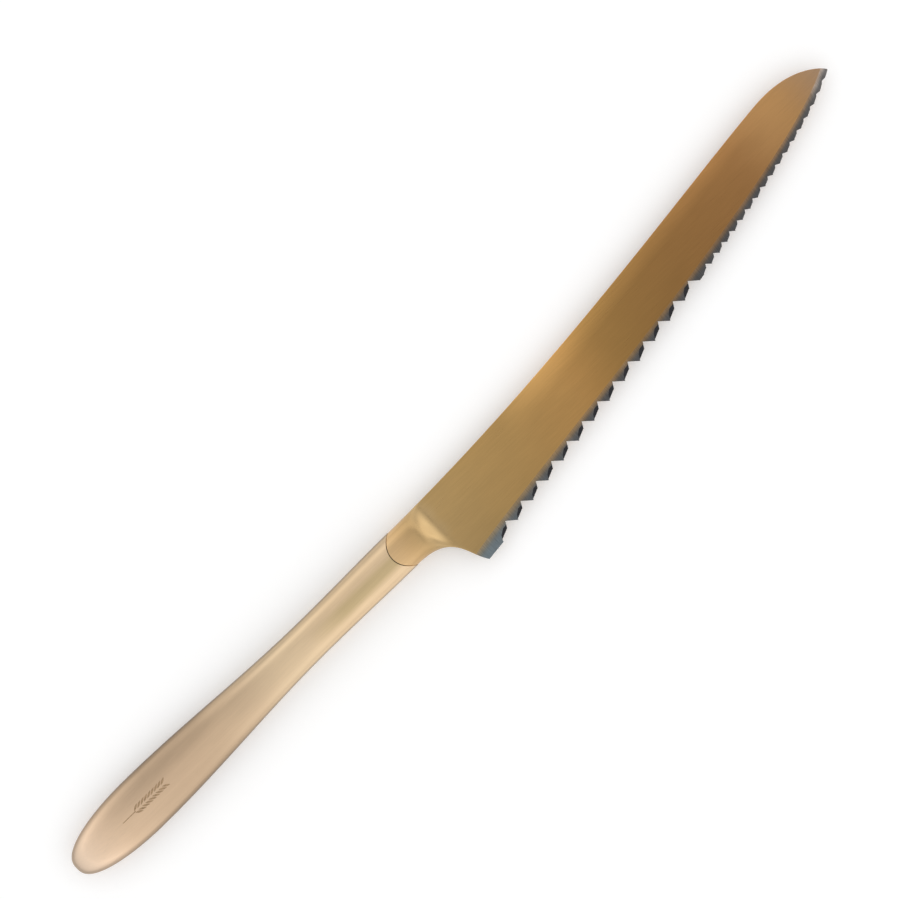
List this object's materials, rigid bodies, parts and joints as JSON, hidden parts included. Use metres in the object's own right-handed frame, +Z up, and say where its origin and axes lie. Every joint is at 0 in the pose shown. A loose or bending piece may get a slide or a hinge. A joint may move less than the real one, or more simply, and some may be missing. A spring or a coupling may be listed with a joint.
{
  "type": "bread knife",
  "caption": "Serrated bread knife with an upswept blade, forged bolster and hollow two-shell handle in satin gold tones, for slicing bread and cakes.",
  "frame": {"origin": "middle of the knife's overall box, on the plane that the handle lies on", "axes": "+X from the butt of the handle to the point of the blade, +Y towards the spine, +Z up out of the side that carries the ground serrations"},
  "size_m": [0.3296, 0.0416, 0.0098],
  "materials": {
    "gold_steel": "satin",
    "champagne_steel": "satin",
    "cement": "matte"
  },
  "bodies": {
    "root": {"blade": "gold_steel", "handle_shell_right": "champagne_steel", "handle_shell_left": "champagne_steel", "handle_filling": "cement"}
  },
  "joints": []
}
